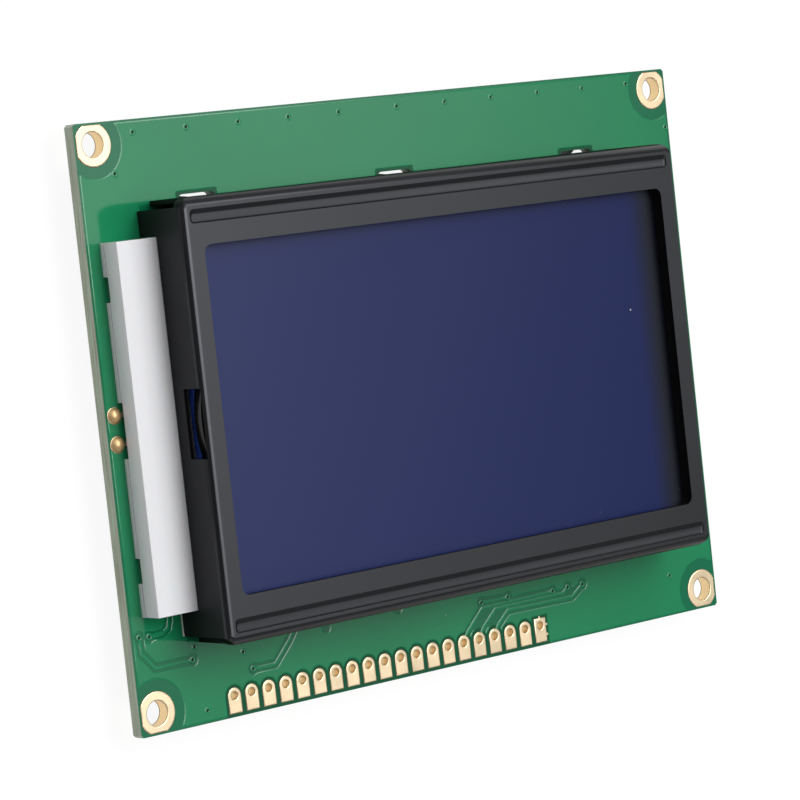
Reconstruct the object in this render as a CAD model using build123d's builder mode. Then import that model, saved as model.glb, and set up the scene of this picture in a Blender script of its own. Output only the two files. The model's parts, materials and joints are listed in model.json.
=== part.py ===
from build123d import *
import os

os.makedirs("parts", exist_ok=True)

# A graphic LCD module lying on its back, display up, as it rests on a table.
# Lengths are in millimetres. X runs along the long side of the board, Y points
# away from the header pads and Z points out of the display. The origin is under
# the middle of the board, in the plane that the bezel's twisted tabs stand on.

# Circuit board, and the strips of it that stay free round the bezel
board_length = 93.0
board_width = 70.0
board_thickness = 1.6
board_corner_cut = 0.3
board_left_margin = 1.9
board_right_margin = 8.05
board_side_margin = 9.5
plating = 0.05
barrel_sides = 8

# Mounting holes, finished size
mounting_hole = 3.0
mounting_inset = 2.5
mounting_pad = 5.0
pad_edge_margin = 0.3

# Row of header pads along the front edge
header_count = 20
header_pitch = 2.54
header_hole = 1.0
header_pad = 1.85
header_pad_flats = 16
header_middle_x = -8.72
header_inset = 2.5
header_pad_end = 0.45

# Folded sheet bezel
bezel_height = 8.4
bezel_sheet = 0.5
long_bend_radius = 1.2
side_bend_radius = 0.8
corner_radius = 1.3
side_flange_offset = 0.4
corner_gap = 1.0
corner_slit_top = 2.0

# Viewing window, and the borders of the bezel's face round it
face_border_end = 2.7
face_border_side = 5.5
window_radius = 1.0
window_depth = 1.6

# Pressed grooves along the long sides of the window
groove_inset = 2.2
groove_mouth = 1.65
groove_depth = 0.5
groove_slope = 40.0
groove_end_radius = 0.5
groove_end_margin = 1.15

# Slot in the left flange, in front of the cell's filling port
port_slot_length = 8.0
port_slot_height = 3.0
port_slot_drop = 0.3

# Tabs that hold the bezel to the board, and the slots they pass through
tab_pitch = 30.0
tab_neck = 2.4
tab_head = 3.6
tab_drop = 3.0
top_tab_twists = (-8.0, -8.0, 35.0)
bottom_tab_twists = (35.0, 35.0, 35.0)
tab_slot_length = 5.4
tab_slot_width = 1.3
tab_slot_reach = 0.35

# Liquid crystal cell
cell_gap = 0.3
glass_thickness = 1.1
polarizer_thickness = 0.2
polarizer_end_margin = 0.8
polarizer_side_margin = 2.3
port_seal_length = 7.2
port_seal_height = 1.3
port_seal_bulge = 0.4
gasket_lip = 0.15
gasket_width = 1.4

# Elastomer strips between the board and the front glass
contact_strip_width = 2.2
contact_strip_margin = 0.5
contact_strip_end = 1.0
contact_strip_gap = 0.6
contact_ledge_gap = 0.3

# Backlight
housing_wall = 0.6
housing_floor = 0.5
tray_inset = 0.3
lamp_box_reach = 5.65
lamp_box_height = 3.1
lamp_box_gap = 0.12
fit_gap = 0.1
foot_notch_height = 0.65
foot_notch_depth = 1.7
foot_step = 0.15
end_notch_length = 2.9
end_notch_margin = 3.9
middle_notch_length = 6.4
reflector_thickness = 0.15
diffuser_thickness = 0.3
lamp_board_width = 2.6
lamp_board_thickness = 0.6
lamp_count = 8
lamp_length = 3.0
lamp_depth = 1.2
lamp_height = 1.2
lamp_light_gap = 0.2

# Backlight terminals
terminal_pitch = 3.3
terminal_middle_y = 0.2
terminal_offset = 0.65
terminal_hole = 0.9
pin_width = 0.5
pin_sheet = 0.3
pin_tail = 0.6
pin_lift = 0.06
pin_reach = 1.55
solder_dome = 1.9
solder_dome_height = 0.6
solder_crown = 1.0
solder_rim_height = 0.4
solder_cone_height = 0.5
solder_cone_tip = 0.8

# Potted chips and small parts on the rear
controller_diameter = 15.0
controller_height = 1.5
driver_diameter = 13.0
driver_height = 1.3
driver_pitch = 48.0
potting_y = 6.0
potting_slope = 2.6
converter_length = 4.9
converter_width = 3.9
converter_height = 1.4
converter_x = 10.0
converter_y = -16.0
converter_pin_count = 4
converter_pin_pitch = 1.27
converter_pin_width = 0.42
converter_pin_sheet = 0.2
converter_pin_reach = 1.05
converter_pin_foot = 0.6
converter_standoff = 0.1
resistor_length = 2.0
resistor_width = 1.25
resistor_height = 0.5
resistor_pitch = 4.0
resistor_row_pitch = 2.6
resistor_columns = 5
resistor_rows = 2
resistor_x = -20.0
resistor_y = -16.0
capacitor_length = 3.2
capacitor_width = 1.6
capacitor_height = 1.1
capacitor_pitch = 4.6
capacitor_count = 4
capacitor_x = 26.0
capacitor_y = -16.0
end_cap = 0.4

# Levels
board_bottom = tab_drop
board_top = board_bottom + board_thickness
bezel_face = board_top + bezel_height
cell_front = bezel_face - window_depth
front_glass_top = cell_front - polarizer_thickness
front_glass_bottom = front_glass_top - glass_thickness
rear_glass_bottom = front_glass_bottom - glass_thickness
cell_back = rear_glass_bottom - polarizer_thickness
diffuser_bottom = cell_back - diffuser_thickness
tray_floor = board_top + housing_floor
guide_bottom = tray_floor + reflector_thickness
lamp_box_top = board_top + lamp_box_height

# Places along X and Y
lamp_box_left = board_left_margin - board_length / 2
bezel_left = lamp_box_left + lamp_box_reach
bezel_right = board_length / 2 - board_right_margin
bezel_length = bezel_right - bezel_left
bezel_middle_x = (bezel_left + bezel_right) / 2
bezel_width = board_width - 2 * board_side_margin
window_length = bezel_length - 2 * face_border_end
window_width = bezel_width - 2 * face_border_side
cell_inset = bezel_sheet + cell_gap
roll_length = bezel_length - 2 * side_flange_offset
side_flange_width = bezel_width - 2 * corner_gap
glass_length = roll_length - 2 * cell_inset
front_glass_width = bezel_width - 2 * cell_inset
strip_inner_width = front_glass_width - 2 * (contact_strip_margin + contact_strip_width)
rear_glass_width = strip_inner_width - 2 * contact_ledge_gap
housing_width = strip_inner_width - 2 * contact_strip_gap
cell_left = bezel_middle_x - glass_length / 2
cell_right = bezel_middle_x + glass_length / 2
groove_y = bezel_width / 2 - groove_inset
tab_y = bezel_width / 2 - bezel_sheet / 2
tab_slot_y = bezel_width / 2 + tab_slot_reach - tab_slot_width / 2
tray_inner_width = housing_width - 2 * housing_wall
terminal_x = lamp_box_left - terminal_offset
header_y = header_inset - board_width / 2
mounting_x = board_length / 2 - mounting_inset
mounting_y = board_width / 2 - mounting_inset

mounting_places = [
    (x, y) for x in (-mounting_x, mounting_x) for y in (-mounting_y, mounting_y)
]
header_places = [
    (header_middle_x + (index - (header_count - 1) / 2) * header_pitch, header_y)
    for index in range(header_count)
]
tab_x_places = [bezel_middle_x + step * tab_pitch for step in (-1, 0, 1)]
tab_slot_places = [(x, side * tab_slot_y) for side in (-1, 1) for x in tab_x_places]
terminal_places = [
    (terminal_x, terminal_middle_y + side * terminal_pitch / 2) for side in (-1, 1)
]


# The outside of a plated hole's barrel. Inside the board it can't be seen, so it
# has flats that stand one thickness of plating off the round hole.
def barrel(hole, mode=Mode.ADD):
    return RegularPolygon(hole / 2 + plating, barrel_sides, major_radius=False, mode=mode)


# Circuit board: glass fibre laminate with its plated holes, the six slots for
# the bezel's tabs and the two holes for the backlight's pins.
with BuildPart() as circuit_board:
    with BuildSketch(Plane.XY.offset(board_bottom)):
        outline = Rectangle(board_length, board_width)
        chamfer(outline.vertices(), board_corner_cut)
        with Locations(mounting_places):
            barrel(mounting_hole, mode=Mode.SUBTRACT)
        with Locations(header_places):
            barrel(header_hole, mode=Mode.SUBTRACT)
        with Locations(terminal_places):
            barrel(terminal_hole, mode=Mode.SUBTRACT)
        with Locations(tab_slot_places):
            SlotOverall(tab_slot_length, tab_slot_width, mode=Mode.SUBTRACT)
    extrude(amount=board_thickness)

circuit_board.part.label = "circuit_board"
export_step(circuit_board.part, "parts/circuit_board.step")

# Mounting pads: gold plated rings on both faces of the board, joined through the
# hole and cut flat along the board's edges.
with BuildPart() as mounting_pads:
    for level in (board_bottom - plating, board_top):
        with BuildSketch(Plane.XY.offset(level)):
            with Locations(mounting_places):
                Circle(mounting_pad / 2)
            Rectangle(
                board_length - 2 * pad_edge_margin,
                board_width - 2 * pad_edge_margin,
                mode=Mode.INTERSECT,
            )
            with Locations(mounting_places):
                Circle(mounting_hole / 2, mode=Mode.SUBTRACT)
        extrude(amount=plating)
    with BuildSketch(Plane.XY.offset(board_bottom)):
        with Locations(mounting_places):
            barrel(mounting_hole)
            Circle(mounting_hole / 2, mode=Mode.SUBTRACT)
    extrude(amount=board_thickness)

mounting_pads.part.label = "mounting_pads"
export_step(mounting_pads.part, "parts/mounting_pads.step")

# Header pads: twenty plated pads. On the front they are round towards the display,
# drawn with short flats, and square towards the edge. The pad of the first pin, at
# the right, is square all round. On the rear all are plain rectangles.
pad_tail = header_inset - header_pad_end
pad_tail_places = [(x, y - pad_tail / 2) for x, y in header_places]
rear_pad_length = pad_tail + header_pad / 2
rear_pad_places = [(x, y + (header_pad / 2 - pad_tail) / 2) for x, y in header_places]
with BuildPart() as header_pads:
    with BuildSketch(Plane.XY.offset(board_top)):
        with Locations(header_places[:-1]):
            RegularPolygon(header_pad / 2, header_pad_flats)
        with Locations(header_places[-1]):
            Rectangle(header_pad, header_pad)
        with Locations(pad_tail_places):
            Rectangle(header_pad, pad_tail)
        with Locations(header_places):
            Circle(header_hole / 2, mode=Mode.SUBTRACT)
    extrude(amount=plating)
    with BuildSketch(Plane.XY.offset(board_bottom)):
        with Locations(header_places):
            barrel(header_hole)
            Circle(header_hole / 2, mode=Mode.SUBTRACT)
    extrude(amount=board_thickness)
    with BuildSketch(Plane.XY.offset(board_bottom - plating)):
        with Locations(rear_pad_places):
            Rectangle(header_pad, rear_pad_length)
        with Locations(header_places):
            Circle(header_hole / 2, mode=Mode.SUBTRACT)
    extrude(amount=plating)

header_pads.part.label = "header_pads"
export_step(header_pads.part, "parts/header_pads.step")


# Bezel: one piece of steel sheet. Its long sides are rolled over a wide bend, its
# short sides are folded sharper and stand a little further out, and every
# corner is slit below the bend. The hollow is the same form, one sheet smaller.
def folded_form(inset):
    height = bezel_height - inset
    middle_z = board_top + height / 2
    with BuildPart() as form:
        with BuildSketch(Plane.XY.offset(board_top)):
            with Locations((bezel_middle_x, 0)):
                RectangleRounded(
                    roll_length - 2 * inset, bezel_width - 2 * inset, corner_radius - inset
                )
        extrude(amount=height)
        with BuildSketch(Plane.YZ.offset(bezel_left)) as rolled_side:
            with Locations((0, middle_z)):
                Rectangle(bezel_width - 2 * inset, height)
            fillet(rolled_side.vertices().group_by(Axis.Y)[-1], long_bend_radius - inset)
        extrude(amount=bezel_length, mode=Mode.INTERSECT)
        with BuildSketch(Plane.XZ) as folded_side:
            with Locations((bezel_middle_x, middle_z)):
                Rectangle(bezel_length - 2 * inset, height)
            fillet(folded_side.vertices().group_by(Axis.Y)[-1], side_bend_radius - inset)
        extrude(amount=side_flange_width / 2, both=True)
    return form.part


bezel_outside = folded_form(0)
bezel_hollow = folded_form(bezel_sheet)
groove_length = bezel_length - 2 * groove_end_margin

with BuildPart() as bezel:
    add(bezel_outside)
    add(bezel_hollow, mode=Mode.SUBTRACT)

    # Window with rounded corners
    with BuildSketch(Plane.XY.offset(bezel_face)):
        with Locations((bezel_middle_x, 0)):
            RectangleRounded(window_length, window_width, window_radius)
    extrude(amount=-bezel_sheet, mode=Mode.SUBTRACT)

    # Pressed grooves: a rib inside for the metal that each groove displaces
    with BuildSketch(Plane.XY.offset(bezel_face - bezel_sheet)):
        with Locations((bezel_middle_x, -groove_y), (bezel_middle_x, groove_y)):
            Rectangle(groove_length, groove_mouth)
    extrude(amount=-groove_depth)
    with BuildSketch(Plane.XY.offset(bezel_face)):
        with Locations((bezel_middle_x, -groove_y), (bezel_middle_x, groove_y)):
            RectangleRounded(groove_length, groove_mouth, groove_end_radius)
    extrude(amount=-groove_depth, taper=groove_slope, mode=Mode.SUBTRACT)

    # Corner slits, from the board up to just under the bends
    slit_x = (bezel_length + corner_gap) / 2 - corner_radius
    slit_y = bezel_width / 2
    with BuildSketch(Plane.XY.offset(board_top)):
        with Locations(
            [(bezel_middle_x + i * slit_x, j * slit_y) for i in (-1, 1) for j in (-1, 1)]
        ):
            Rectangle(corner_gap + corner_radius, 2 * corner_gap)
    extrude(amount=bezel_height - corner_slit_top, mode=Mode.SUBTRACT)

    # Cut-out of the left flange over the backlight, and the slot above it
    with BuildSketch(Plane.YZ.offset(bezel_left)):
        with Locations((0, board_top + (lamp_box_height + lamp_box_gap) / 2)):
            Rectangle(housing_width + 2 * lamp_box_gap, lamp_box_height + lamp_box_gap)
        with Locations((0, bezel_face - port_slot_drop - port_slot_height / 2)):
            Rectangle(port_slot_length, port_slot_height)
    extrude(amount=bezel_sheet, mode=Mode.SUBTRACT)

    # Tabs: a neck through each slot and a head that is twisted under the board
    for side, twists in ((1, top_tab_twists), (-1, bottom_tab_twists)):
        for tab_x, twist in zip(tab_x_places, twists):
            with BuildSketch(Plane.XY.offset(board_bottom)):
                with Locations((tab_x, side * tab_y)):
                    Rectangle(tab_neck, bezel_sheet)
            extrude(amount=board_thickness)
            with BuildSketch():
                with Locations(Location((tab_x, side * tab_y), twist)):
                    Rectangle(tab_head, bezel_sheet)
            extrude(amount=tab_drop)

bezel.part.label = "bezel"
export_step(bezel.part, "parts/bezel.step")

# Bezel gasket: a black foam frame that presses the cell down from behind the face
with BuildPart() as bezel_gasket:
    with BuildSketch(Plane.XY.offset(cell_front)):
        with Locations((bezel_middle_x, 0)):
            Rectangle(
                window_length + 2 * (gasket_lip + gasket_width),
                window_width + 2 * (gasket_lip + gasket_width),
            )
            RectangleRounded(
                window_length + 2 * gasket_lip,
                window_width + 2 * gasket_lip,
                window_radius,
                mode=Mode.SUBTRACT,
            )
    extrude(amount=window_depth - bezel_sheet)

bezel_gasket.part.label = "bezel_gasket"
export_step(bezel_gasket.part, "parts/bezel_gasket.step")

# Liquid crystal cell: the front glass overhangs the rear one, so that its contact
# ledges face the elastomer strips.
polarizer_length = glass_length - 2 * polarizer_end_margin
with BuildPart() as lcd_front_polarizer:
    with BuildSketch(Plane.XY.offset(front_glass_top)):
        with Locations((bezel_middle_x, 0)):
            Rectangle(polarizer_length, front_glass_width - 2 * polarizer_side_margin)
    extrude(amount=polarizer_thickness)

lcd_front_polarizer.part.label = "lcd_front_polarizer"
export_step(lcd_front_polarizer.part, "parts/lcd_front_polarizer.step")

with BuildPart() as lcd_front_glass:
    with BuildSketch(Plane.XY.offset(front_glass_bottom)):
        with Locations((bezel_middle_x, 0)):
            Rectangle(glass_length, front_glass_width)
    extrude(amount=glass_thickness)

lcd_front_glass.part.label = "lcd_front_glass"
export_step(lcd_front_glass.part, "parts/lcd_front_glass.step")

with BuildPart() as lcd_rear_glass:
    with BuildSketch(Plane.XY.offset(rear_glass_bottom)):
        with Locations((bezel_middle_x, 0)):
            Rectangle(glass_length, rear_glass_width)
    extrude(amount=glass_thickness)

lcd_rear_glass.part.label = "lcd_rear_glass"
export_step(lcd_rear_glass.part, "parts/lcd_rear_glass.step")

with BuildPart() as lcd_rear_polarizer:
    with BuildSketch(Plane.XY.offset(cell_back)):
        with Locations((bezel_middle_x, 0)):
            Rectangle(polarizer_length, rear_glass_width - 2 * polarizer_end_margin)
    extrude(amount=polarizer_thickness)

lcd_rear_polarizer.part.label = "lcd_rear_polarizer"
export_step(lcd_rear_polarizer.part, "parts/lcd_rear_polarizer.step")

# Port seal: the bead of black resin that closes the cell's filling port. It sits
# on the edge of the front glass behind the slot of the left flange.
with BuildPart() as lcd_port_seal:
    with BuildSketch(Plane.XY.offset(front_glass_bottom)):
        with BuildLine():
            ThreePointArc(
                (cell_left, port_seal_length / 2),
                (cell_left - port_seal_bulge, 0),
                (cell_left, -port_seal_length / 2),
            )
            Line((cell_left, -port_seal_length / 2), (cell_left, port_seal_length / 2))
        make_face()
    extrude(amount=port_seal_height)

lcd_port_seal.part.label = "lcd_port_seal"
export_step(lcd_port_seal.part, "parts/lcd_port_seal.step")

# Elastomer contact strips, squeezed between the board and the glass ledges
contact_strip_y = (
    front_glass_width / 2 - contact_strip_margin - contact_strip_width / 2
)
with BuildPart() as contact_strip_top:
    with BuildSketch(Plane.XY.offset(board_top)):
        with Locations((bezel_middle_x, contact_strip_y)):
            Rectangle(glass_length - 2 * contact_strip_end, contact_strip_width)
    extrude(amount=front_glass_bottom - board_top)

contact_strip_top.part.label = "contact_strip_top"
export_step(contact_strip_top.part, "parts/contact_strip_top.step")

with BuildPart() as contact_strip_bottom:
    add(contact_strip_top.part.mirror(Plane.XZ))

contact_strip_bottom.part.label = "contact_strip_bottom"
export_step(contact_strip_bottom.part, "parts/contact_strip_bottom.step")

# Backlight housing: a white moulded tray under the cell. Its left end reaches out
# below the bezel's flange as a low closed box for the lamps, on notched feet that
# stand out a little from the box.
tray_left = cell_left + tray_inset
tray_right = cell_right
tray_length = tray_right - tray_left
lamp_box_length = tray_left - lamp_box_left
lamp_box_wall = lamp_box_left + foot_step
end_notch_y = housing_width / 2 - end_notch_margin - end_notch_length / 2
with BuildPart() as backlight_housing:
    with BuildSketch(Plane.XY.offset(board_top)):
        with Locations(((lamp_box_left + tray_right) / 2, 0)):
            Rectangle(tray_right - lamp_box_left, housing_width)
    extrude(amount=foot_notch_height)
    with BuildSketch(Plane.XY.offset(board_top + foot_notch_height)):
        with Locations(((lamp_box_wall + tray_right) / 2, 0)):
            Rectangle(tray_right - lamp_box_wall, housing_width)
    extrude(amount=lamp_box_height - foot_notch_height)
    with BuildSketch(Plane.XY.offset(lamp_box_top)):
        with Locations(((tray_left + tray_right) / 2, 0)):
            Rectangle(tray_length, housing_width)
    extrude(amount=cell_back - lamp_box_top)
    with BuildSketch(Plane.XY.offset(tray_floor)):
        with Locations(((tray_left + tray_right) / 2, 0)):
            Rectangle(tray_length - 2 * housing_wall, tray_inner_width)
    extrude(amount=cell_back - tray_floor, mode=Mode.SUBTRACT)
    with BuildSketch(Plane.XY.offset(tray_floor)):
        with Locations((lamp_box_left + housing_wall + lamp_box_length / 2, 0)):
            Rectangle(lamp_box_length, tray_inner_width)
    extrude(amount=lamp_box_height - housing_floor - housing_wall, mode=Mode.SUBTRACT)
    with BuildSketch(Plane.XY.offset(board_top)):
        with Locations((lamp_box_left, 0)):
            Rectangle(2 * foot_notch_depth, middle_notch_length)
        with Locations((lamp_box_left, -end_notch_y), (lamp_box_left, end_notch_y)):
            Rectangle(2 * housing_wall, end_notch_length)
    extrude(amount=foot_notch_height, mode=Mode.SUBTRACT)

backlight_housing.part.label = "backlight_housing"
export_step(backlight_housing.part, "parts/backlight_housing.step")

# Lamp board and its side-firing lamps, in the housing's closed box
lamp_board_left = lamp_box_left + housing_wall + fit_gap
lamp_board_right = lamp_board_left + lamp_board_width
lamp_board_top = tray_floor + lamp_board_thickness
with BuildPart() as lamp_board:
    with BuildSketch(Plane.XY.offset(tray_floor)):
        with Locations((lamp_board_left + lamp_board_width / 2, 0)):
            Rectangle(lamp_board_width, tray_inner_width - 2 * fit_gap)
    extrude(amount=lamp_board_thickness)

lamp_board.part.label = "lamp_board"
export_step(lamp_board.part, "parts/lamp_board.step")

with BuildPart() as lamps:
    with BuildSketch(Plane.XY.offset(lamp_board_top)):
        with Locations((lamp_board_right - lamp_depth / 2, 0)):
            with GridLocations(0, tray_inner_width / lamp_count, 1, lamp_count):
                Rectangle(lamp_depth, lamp_length)
    extrude(amount=lamp_height)

lamps.part.label = "lamps"
export_step(lamps.part, "parts/lamps.step")

# Reflector film, light guide and diffuser film fill the tray below the cell
guide_left = lamp_board_right + lamp_light_gap
guide_right = tray_right - housing_wall - fit_gap
guide_width = tray_inner_width - 2 * fit_gap
guide_step_x = tray_left + housing_wall + fit_gap
guide_step_z = lamp_box_top - housing_wall - fit_gap
with BuildPart() as reflector_film:
    with BuildSketch(Plane.XY.offset(tray_floor)):
        with Locations(((guide_left + guide_right) / 2, 0)):
            Rectangle(guide_right - guide_left, guide_width)
    extrude(amount=reflector_thickness)

reflector_film.part.label = "reflector_film"
export_step(reflector_film.part, "parts/reflector_film.step")

with BuildPart() as light_guide:
    with BuildSketch(Plane.XZ):
        with BuildLine():
            Polyline(
                (guide_left, guide_bottom),
                (guide_right, guide_bottom),
                (guide_right, diffuser_bottom),
                (guide_step_x, diffuser_bottom),
                (guide_step_x, guide_step_z),
                (guide_left, guide_step_z),
                close=True,
            )
        make_face()
    extrude(amount=guide_width / 2, both=True)

light_guide.part.label = "light_guide"
export_step(light_guide.part, "parts/light_guide.step")

with BuildPart() as diffuser_film:
    with BuildSketch(Plane.XY.offset(diffuser_bottom)):
        with Locations(((guide_step_x + guide_right) / 2, 0)):
            Rectangle(guide_right - guide_step_x, guide_width)
    extrude(amount=diffuser_thickness)

diffuser_film.part.label = "diffuser_film"
export_step(diffuser_film.part, "parts/diffuser_film.step")

# Backlight pins: flat strips that come out under the housing through its middle
# notch and turn down into the board.
pin_top = board_top + pin_lift + pin_sheet
pin_inner_x = lamp_box_left + pin_reach
with BuildPart() as backlight_pins:
    for pin_x, pin_y in terminal_places:
        with BuildSketch(Plane.XZ.offset(-pin_y)):
            with BuildLine():
                Polyline(
                    (pin_x - pin_sheet / 2, pin_top),
                    (pin_inner_x - pin_sheet, pin_top),
                    (pin_inner_x - pin_sheet, tray_floor),
                    (pin_inner_x, tray_floor),
                    (pin_inner_x, pin_top - pin_sheet),
                    (pin_x + pin_sheet / 2, pin_top - pin_sheet),
                    (pin_x + pin_sheet / 2, board_bottom - pin_tail),
                    (pin_x - pin_sheet / 2, board_bottom - pin_tail),
                    close=True,
                )
            make_face()
        extrude(amount=pin_width / 2, both=True)

backlight_pins.part.label = "backlight_pins"
export_step(backlight_pins.part, "parts/backlight_pins.step")

# Solder joints: a dome on the front, the filled hole and a cone on the rear. The
# dome is turned from a steep rim and a flatter crown.
with BuildPart() as backlight_solder:
    with BuildSketch(Plane.XY.offset(board_bottom)):
        with Locations(terminal_places):
            barrel(terminal_hole)
    extrude(amount=board_thickness)
    for pin_x, pin_y in terminal_places:
        with BuildSketch(Plane.XZ.offset(-pin_y)):
            with BuildLine():
                Polyline(
                    (pin_x, board_top),
                    (pin_x + solder_dome / 2, board_top),
                    (pin_x + solder_crown / 2, board_top + solder_rim_height),
                    (pin_x, board_top + solder_dome_height),
                    close=True,
                )
            make_face()
            with BuildLine():
                Polyline(
                    (pin_x, board_bottom),
                    (pin_x + solder_dome / 2, board_bottom),
                    (pin_x + solder_cone_tip / 2, board_bottom - solder_cone_height),
                    (pin_x, board_bottom - solder_cone_height),
                    close=True,
                )
            make_face()
        revolve(axis=Axis((pin_x, pin_y, 0), (0, 0, 1)))
    add(backlight_pins.part, mode=Mode.SUBTRACT)

backlight_solder.part.label = "backlight_solder"
export_step(backlight_solder.part, "parts/backlight_solder.step")


# Potted chips: a bare chip under a low drop of black resin, which slopes up from
# its rim to a flat top.
def potting_drop(middle_x, middle_y, diameter, height):
    with BuildPart() as drop:
        with BuildSketch(Plane.XZ.offset(-middle_y)):
            with BuildLine():
                Polyline(
                    (middle_x, board_bottom),
                    (middle_x + diameter / 2, board_bottom),
                    (middle_x + diameter / 2 - potting_slope, board_bottom - height),
                    (middle_x, board_bottom - height),
                    close=True,
                )
            make_face()
        revolve(axis=Axis((middle_x, middle_y, 0), (0, 0, 1)))
    return drop.part


with BuildPart() as controller_potting:
    add(potting_drop(0, potting_y, controller_diameter, controller_height))

controller_potting.part.label = "controller_potting"
export_step(controller_potting.part, "parts/controller_potting.step")

with BuildPart() as left_driver_potting:
    add(potting_drop(-driver_pitch / 2, potting_y, driver_diameter, driver_height))

left_driver_potting.part.label = "left_driver_potting"
export_step(left_driver_potting.part, "parts/left_driver_potting.step")

with BuildPart() as right_driver_potting:
    add(potting_drop(driver_pitch / 2, potting_y, driver_diameter, driver_height))

right_driver_potting.part.label = "right_driver_potting"
export_step(right_driver_potting.part, "parts/right_driver_potting.step")

# Voltage converter: a small outline package whose leads spring out at half height
# and bend down to the board.
converter_top = board_bottom - converter_standoff
converter_bottom = converter_top - converter_height
converter_lead_z = (converter_top + converter_bottom) / 2
with BuildPart() as voltage_converter:
    with BuildSketch(Plane.XY.offset(converter_bottom)):
        with Locations((converter_x, converter_y)):
            Rectangle(converter_length, converter_width)
    extrude(amount=converter_height)
    chamfer(voltage_converter.faces().sort_by(Axis.Z)[0].edges(), converter_standoff)

voltage_converter.part.label = "voltage_converter"
export_step(voltage_converter.part, "parts/voltage_converter.step")

with BuildPart() as converter_leads:
    for side in (-1, 1):
        body_side = converter_y + side * converter_width / 2
        foot_end = body_side + side * converter_pin_reach
        foot_start = foot_end - side * converter_pin_foot
        for index in range(converter_pin_count):
            lead_x = converter_x + (index - (converter_pin_count - 1) / 2) * converter_pin_pitch
            with BuildSketch(Plane.YZ.offset(lead_x)):
                with BuildLine():
                    Polyline(
                        (body_side, converter_lead_z),
                        (foot_start + side * converter_pin_sheet, converter_lead_z),
                        (foot_start + side * converter_pin_sheet, board_bottom - converter_pin_sheet),
                        (foot_end, board_bottom - converter_pin_sheet),
                        (foot_end, board_bottom),
                        (foot_start, board_bottom),
                        (foot_start, converter_lead_z + converter_pin_sheet),
                        (body_side, converter_lead_z + converter_pin_sheet),
                        close=True,
                    )
                make_face()
            extrude(amount=converter_pin_width / 2, both=True)

converter_leads.part.label = "converter_leads"
export_step(converter_leads.part, "parts/converter_leads.step")

# Chip resistors and capacitors: a ceramic body between two soldered end caps
with BuildPart() as chip_resistors:
    with BuildSketch(Plane.XY.offset(board_bottom)):
        with Locations((resistor_x, resistor_y)):
            with GridLocations(
                resistor_pitch, resistor_row_pitch, resistor_columns, resistor_rows
            ):
                Rectangle(resistor_length - 2 * end_cap, resistor_width)
    extrude(amount=-resistor_height)

chip_resistors.part.label = "chip_resistors"
export_step(chip_resistors.part, "parts/chip_resistors.step")

with BuildPart() as chip_capacitors:
    with BuildSketch(Plane.XY.offset(board_bottom)):
        with Locations((capacitor_x, capacitor_y)):
            with GridLocations(capacitor_pitch, 0, capacitor_count, 1):
                Rectangle(capacitor_length - 2 * end_cap, capacitor_width)
    extrude(amount=-capacitor_height)

chip_capacitors.part.label = "chip_capacitors"
export_step(chip_capacitors.part, "parts/chip_capacitors.step")

with BuildPart() as chip_end_caps:
    with BuildSketch(Plane.XY.offset(board_bottom)):
        with Locations((resistor_x, resistor_y)):
            with GridLocations(
                resistor_pitch, resistor_row_pitch, resistor_columns, resistor_rows
            ):
                with GridLocations(resistor_length - end_cap, 0, 2, 1):
                    Rectangle(end_cap, resistor_width)
    extrude(amount=-resistor_height)
    with BuildSketch(Plane.XY.offset(board_bottom)):
        with Locations((capacitor_x, capacitor_y)):
            with GridLocations(capacitor_pitch, 0, capacitor_count, 1):
                with GridLocations(capacitor_length - end_cap, 0, 2, 1):
                    Rectangle(end_cap, capacitor_width)
    extrude(amount=-capacitor_height)

chip_end_caps.part.label = "chip_end_caps"
export_step(chip_end_caps.part, "parts/chip_end_caps.step")
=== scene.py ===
# %% [markdown]
# A graphic LCD module, dressed for its picture.
#
# The frame holds every rigid piece at its real size: the circuit board, the folded bezel, the display
# cell, the backlight tray and the parts on the rear. This lesson gives each of them its finish, and adds
# what is too thin for the solids: the relief of the copper under the green lacquer, the soft edges of
# the gold pads, the vias, the printed lines and the drops of solder and resin.

# %% Load the frame
import bpy
import json
import math
import random
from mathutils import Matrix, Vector
from mathutils.geometry import delaunay_2d_cdt

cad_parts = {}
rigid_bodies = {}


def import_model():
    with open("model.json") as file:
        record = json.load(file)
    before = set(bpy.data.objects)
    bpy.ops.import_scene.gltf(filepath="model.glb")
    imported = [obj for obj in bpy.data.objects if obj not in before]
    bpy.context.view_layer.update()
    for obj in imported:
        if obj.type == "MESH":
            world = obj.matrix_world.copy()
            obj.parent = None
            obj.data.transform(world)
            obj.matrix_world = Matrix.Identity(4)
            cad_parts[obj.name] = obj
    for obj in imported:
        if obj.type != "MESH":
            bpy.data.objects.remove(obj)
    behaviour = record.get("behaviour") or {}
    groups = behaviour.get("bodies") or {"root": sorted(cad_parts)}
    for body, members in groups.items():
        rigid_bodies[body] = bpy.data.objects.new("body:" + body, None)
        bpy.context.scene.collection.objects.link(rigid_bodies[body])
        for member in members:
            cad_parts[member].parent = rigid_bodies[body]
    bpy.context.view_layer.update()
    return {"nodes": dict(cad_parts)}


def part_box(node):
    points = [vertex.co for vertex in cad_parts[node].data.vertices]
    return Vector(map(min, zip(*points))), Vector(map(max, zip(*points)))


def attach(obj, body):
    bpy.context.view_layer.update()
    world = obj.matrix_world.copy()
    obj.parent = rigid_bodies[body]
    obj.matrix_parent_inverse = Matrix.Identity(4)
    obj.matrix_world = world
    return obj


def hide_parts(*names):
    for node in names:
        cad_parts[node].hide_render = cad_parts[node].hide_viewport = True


for leftover in list(bpy.data.objects):
    bpy.data.objects.remove(leftover)
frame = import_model()
nodes = frame["nodes"]

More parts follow.
